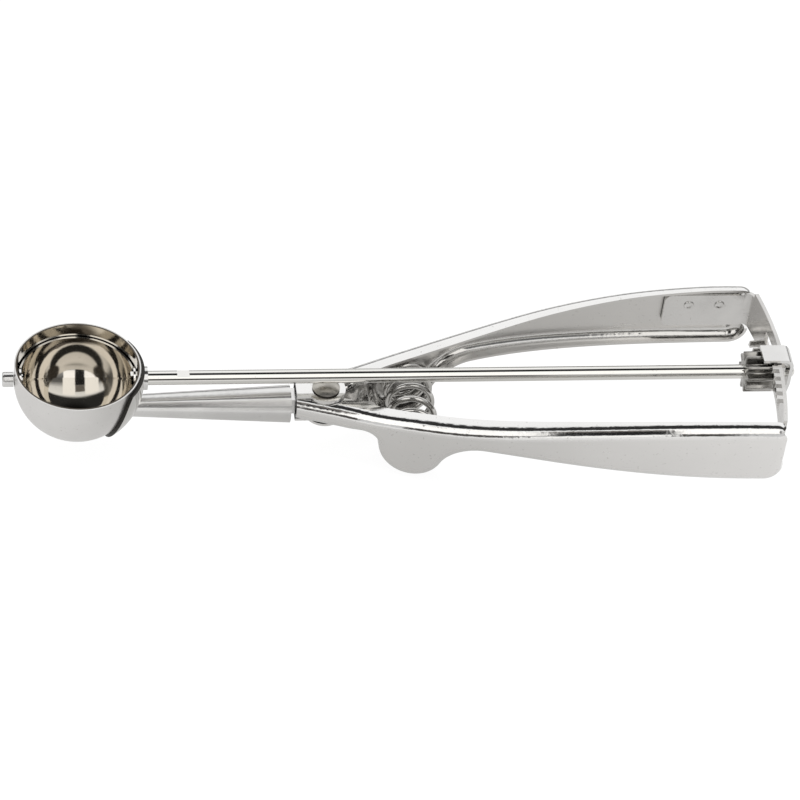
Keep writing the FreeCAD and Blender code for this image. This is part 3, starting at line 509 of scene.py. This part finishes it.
# %% Rod and fitting finishes
rod_steel = steel("rod_steel", (0.84, 0.83, 0.80), 0.05, streak=0.02, fineness=1400.0, length=60.0,
                  cloud=0.015, bump=0.002)
bright_steel = steel("bright_steel", (0.78, 0.775, 0.765), 0.12, streak=0.06, fineness=900.0, length=25.0,
                     cloud=0.04, bump=0.015)
rack_steel = steel("rack_steel", (0.68, 0.67, 0.655), 0.16, streak=0.08, fineness=800.0, length=2.0,
                   cloud=0.06, bump=0.03)
finish("rod", rod_steel)
for name in ("ferrule", "handle_tongue", "shaft_bush", "blade_pin", "keeper"):
    finish(name, bright_steel)
for name in ("fixed_rack", "squeeze_rack", "fixed_rack_welds", "squeeze_rack_welds"):
    finish(name, rack_steel)
print("rod, fittings and racks finished")

# %% Rivet and washer
rivet_steel = steel("rivet_steel", (0.52, 0.50, 0.46), 0.26, streak=0.03, fineness=300.0, length=1.0,
                    cloud=0.10, size=420.0, bump=0.05)
# Painted shadow: the washer is made near black for the shadow under the rivet's head.
washer_painted_shadow = steel("washer_painted_shadow", (0.10, 0.095, 0.09), 0.35, cloud=0.08)
gear_steel = steel("gear_steel", (0.44, 0.43, 0.41), 0.14, streak=0.05, fineness=500.0, length=3.0,
                   cloud=0.10, size=300.0, bump=0.05)
finish("pivot_rivet", rivet_steel)
finish("pivot_washer", washer_painted_shadow)
finish("pinion", gear_steel)
print("rivet set finished")

# %% [markdown]
# ## Return spring
# The coil between the two finger lobes is a wire that follows a rule: it turns about a line across the
# scoop, its ends close up, and it leans with the handles, which are wider apart at the back. Geometry Nodes
# are made for that. The tree below lays points along the rule, joins them to a curve and sweeps a round
# profile along it.

# %% Geometry Nodes helpers
def bake(name, obj):
    """Turn the evaluated object into a plain mesh object at the origin, and drop its modifiers."""
    graph = bpy.context.evaluated_depsgraph_get()
    mesh = bpy.data.meshes.new_from_object(obj.evaluated_get(graph), depsgraph=graph)
    mesh.name = name
    bpy.data.objects.remove(obj)
    made = bpy.data.objects.new(name, mesh)
    scene.collection.objects.link(made)
    return made


def run_tree(name, group, values, mesh=None):
    """Object with a Geometry Nodes modifier, its inputs set by their identifiers."""
    holder = bpy.data.objects.new(name, mesh or bpy.data.meshes.new(name))
    scene.collection.objects.link(holder)
    modifier = holder.modifiers.new("build", "NODES")
    modifier.node_group = group
    for item in group.interface.items_tree:
        if item.item_type == "SOCKET" and item.in_out == "INPUT" and item.name in values:
            modifier[item.identifier] = values[item.name]
    return holder


print("bake and run_tree ready")

# %% Spring tree
spring_steel = steel("spring_steel", (0.70, 0.69, 0.67), 0.10, streak=0.04, fineness=900.0, length=3.0,
                     cloud=0.05, bump=0.02)
coil, source, result = new_group(
    "leaning_coil",
    [("Turns", "NodeSocketFloat", 7.0), ("Steps", "NodeSocketInt", 560),
     ("Coil Radius", "NodeSocketFloat", 0.00575), ("Wire Radius", "NodeSocketFloat", 0.00085),
     ("Half Length", "NodeSocketFloat", 0.0136), ("Lean", "NodeSocketFloat", 0.3),
     ("Closing", "NodeSocketFloat", 0.3), ("Middle X", "NodeSocketFloat", 0.0),
     ("Middle Z", "NodeSocketFloat", 0.0)],
    [("Geometry", "NodeSocketGeometry")], "GeometryNodeTree")
places = add(coil, "GeometryNodeMeshLine", {"Count": source.outputs["Steps"]})
index = coil.nodes.new("GeometryNodeInputIndex").outputs[0]
last = number(coil, "SUBTRACT", source.outputs["Steps"], 1.0)
share = number(coil, "DIVIDE", index, last)
angle = number(coil, "MULTIPLY", number(coil, "MULTIPLY", share, source.outputs["Turns"]), 2 * math.pi)
ripple = number(coil, "DIVIDE", number(coil, "SINE", number(coil, "MULTIPLY", share, 2 * math.pi)),
                2 * math.pi)
closed = number(coil, "SUBTRACT", share, number(coil, "MULTIPLY", ripple, source.outputs["Closing"]))
across = number(coil, "MULTIPLY", number(coil, "COSINE", angle), source.outputs["Coil Radius"])
height = number(coil, "MULTIPLY", number(coil, "SINE", angle), source.outputs["Coil Radius"])
reach = number(coil, "MULTIPLY_ADD", across, source.outputs["Lean"], source.outputs["Half Length"])
along = number(coil, "MULTIPLY", number(coil, "MULTIPLY_ADD", closed, 2.0, -1.0), reach)
spot = add(coil, "ShaderNodeCombineXYZ", {"X": number(coil, "ADD", source.outputs["Middle X"], across),
                                          "Y": along,
                                          "Z": number(coil, "ADD", source.outputs["Middle Z"], height)})
moved = add(coil, "GeometryNodeSetPosition", {"Geometry": places.outputs[0], "Position": spot.outputs[0]})
line = add(coil, "GeometryNodeMeshToCurve", {0: moved.outputs[0]})
ring = add(coil, "GeometryNodeCurvePrimitiveCircle",
           {"Resolution": 20, "Radius": source.outputs["Wire Radius"]})
wire = add(coil, "GeometryNodeCurveToMesh", {"Curve": line.outputs[0], "Profile Curve": ring.outputs["Curve"],
                                             "Fill Caps": True})
smooth = add(coil, "GeometryNodeSetShadeSmooth", {0: wire.outputs[0]})
single = add(coil, "GeometryNodeRealizeInstances", {0: smooth.outputs[0]})
painted = add(coil, "GeometryNodeSetMaterial", {"Geometry": single.outputs[0], "Material": spring_steel})
coil.links.new(painted.outputs[0], result.inputs["Geometry"])

# %% Wind the spring
spring_low, spring_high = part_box("return_spring")
SPRING_WIRE = 0.85 * MM
SPRING_TURNS = 7.0
SPRING_STEPS = 560
SPRING_HALF_LENGTH = 13.616 * MM
SPRING_LEAN = 0.3168
SPRING_CLOSING = 0.3
spring_middle = (spring_low + spring_high) / 2
holder = run_tree("spring_builder", coil, {
    "Turns": SPRING_TURNS, "Steps": SPRING_STEPS,
    "Coil Radius": (spring_high.z - spring_low.z) / 2 - SPRING_WIRE, "Wire Radius": SPRING_WIRE,
    "Half Length": SPRING_HALF_LENGTH, "Lean": SPRING_LEAN, "Closing": SPRING_CLOSING,
    "Middle X": spring_middle.x, "Middle Z": spring_middle.z})
spring = bake("coil_spring", holder)
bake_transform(spring)
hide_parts("return_spring")
print("spring:", len(spring.data.polygons), "faces")

# %% [markdown]
# ## Pinion
# The small gear on the rod's end looks cast: its ten teeth have rounded edges that catch the light while
# the gaps stay dark. Its outline is drawn tooth by tooth, pulled out to its length, and a Bevel modifier
# rounds every edge.

# %% Cut the pinion
PINION_TEETH = 10
# Half of one tooth's outline in millimetres, as distance from the axis and distance from the tooth's middle
PINION_ROOT = (3.2, 0.75)
PINION_TIP = (5.4, 0.42)
PINION_ROUND = 0.22 * MM
TOOTH_CORNERS = [(PINION_ROOT[0], -PINION_ROOT[1]), (PINION_TIP[0], -PINION_TIP[1]), PINION_TIP, PINION_ROOT]
pinion_low, pinion_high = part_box("pinion")
axis_z = (pinion_low.z + pinion_high.z) / 2
gear = bmesh.new()
outline = []
for tooth in range(PINION_TEETH):
    middle = math.pi / 2 + 2 * math.pi * tooth / PINION_TEETH
    out_y, out_z = math.cos(middle), math.sin(middle)
    for reach, offset in TOOTH_CORNERS:
        outline.append(gear.verts.new((pinion_low.x, (out_y * reach - out_z * offset) * MM,
                                       axis_z + (out_z * reach + out_y * offset) * MM)))
start_face = gear.faces.new(outline)
pulled = bmesh.ops.extrude_face_region(gear, geom=[start_face])
for item in pulled["geom"]:
    if isinstance(item, bmesh.types.BMVert):
        item.co.x = pinion_high.x
bmesh.ops.recalc_face_normals(gear, faces=gear.faces)
gear_mesh = bpy.data.meshes.new("cast_pinion")
gear.to_mesh(gear_mesh)
gear.free()
gear_mesh.materials.append(gear_steel)
gear_maker = bpy.data.objects.new("pinion_builder", gear_mesh)
scene.collection.objects.link(gear_maker)
rounding = gear_maker.modifiers.new("round", "BEVEL")
rounding.width = PINION_ROUND
rounding.segments = 3
rounding.limit_method = "ANGLE"
rounding.angle_limit = math.radians(25)
cast_pinion = bake("cast_pinion", gear_maker)
cast_pinion.data.shade_smooth()
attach(cast_pinion, "geared_rod")
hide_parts("pinion")
print("pinion:", len(cast_pinion.data.polygons), "faces")

# %% [markdown]
# ## Weld spots
# Each rack's tab is spot welded inside its handle. A weld leaves a shallow crater with a raised lip. One
# crater is drawn as a profile turned about its axis, and Geometry Nodes set it on every weld point.

# %% Crater mesh and its spreading tree
def turned(name, profile, segments=32):
    """Closed shape from a profile of (radius, height) turned about Z, with outward faces."""
    shape = bmesh.new()
    rings = []
    for radius, level in profile:
        if radius <= 1e-9:
            rings.append([shape.verts.new((0, 0, level))])
            continue
        rings.append([shape.verts.new((radius * math.cos(2 * math.pi * k / segments),
                                       radius * math.sin(2 * math.pi * k / segments), level))
                      for k in range(segments)])
    for first, second in zip(rings, rings[1:]):
        for k in range(segments):
            a, b = first[k % len(first)], first[(k + 1) % len(first)]
            c, d = second[(k + 1) % len(second)], second[k % len(second)]
            corners = []
            for vertex in (a, b, c, d):
                if vertex not in corners:
                    corners.append(vertex)
            if len(corners) > 2:
                shape.faces.new(corners)
    bmesh.ops.recalc_face_normals(shape, faces=shape.faces)
    mesh = bpy.data.meshes.new(name)
    shape.to_mesh(mesh)
    shape.free()
    mesh.shade_smooth()
    return mesh


# Half of the crater's section in millimetres, as (radius, height above the tab)
CRATER = [(0.0, 0.05), (0.45, 0.06), (0.8, 0.14), (1.0, 0.28), (1.15, 0.30), (1.3, 0.20), (1.4, 0.0),
          (1.4, -0.02), (0.0, -0.02)]
crater_mesh = turned("weld_crater", [(r * MM, z * MM) for r, z in CRATER])
crater = bpy.data.objects.new("weld_crater_source", crater_mesh)
scene.collection.objects.link(crater)

spread, source, result = new_group(
    "set_on_points",
    [("Geometry", "NodeSocketGeometry", None), ("Shape", "NodeSocketObject", None),
     ("Turn", "NodeSocketRotation", None)],
    [("Geometry", "NodeSocketGeometry")], "GeometryNodeTree")
shape_in = add(spread, "GeometryNodeObjectInfo", {"Object": source.outputs["Shape"]})
put = add(spread, "GeometryNodeInstanceOnPoints", {"Points": source.outputs["Geometry"],
                                                   "Instance": shape_in.outputs["Geometry"],
                                                   "Rotation": source.outputs["Turn"]})
single = add(spread, "GeometryNodeRealizeInstances", {0: put.outputs[0]})
painted = add(spread, "GeometryNodeSetMaterial", {"Geometry": single.outputs[0], "Material": rack_steel})
spread.links.new(painted.outputs[0], result.inputs["Geometry"])
print("crater with", len(crater_mesh.polygons), "faces")

# %% Set the craters on both tabs
for side_name, body in (("fixed", "frame"), ("squeeze", "squeeze_lever")):
    node = side_name + "_rack_welds"
    low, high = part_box(node)
    inward = -1.0 if body == "frame" else 1.0
    face = high.y if body == "frame" else low.y
    radius = (high.z - low.z) / 2
    points = bpy.data.meshes.new(node + "_points")
    points.from_pydata([(low.x + radius, face, (low.z + high.z) / 2),
                        (high.x - radius, face, (low.z + high.z) / 2)], [], [])
    holder = run_tree(node + "_builder", spread,
                      {"Shape": crater, "Turn": (-inward * math.pi / 2, 0.0, 0.0)}, points)
    welds = bake(side_name + "_weld_craters", holder)
    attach(welds, body)
    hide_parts(node)
    print(node, "->", welds.name, len(welds.data.polygons), "faces")
bpy.data.objects.remove(crater)
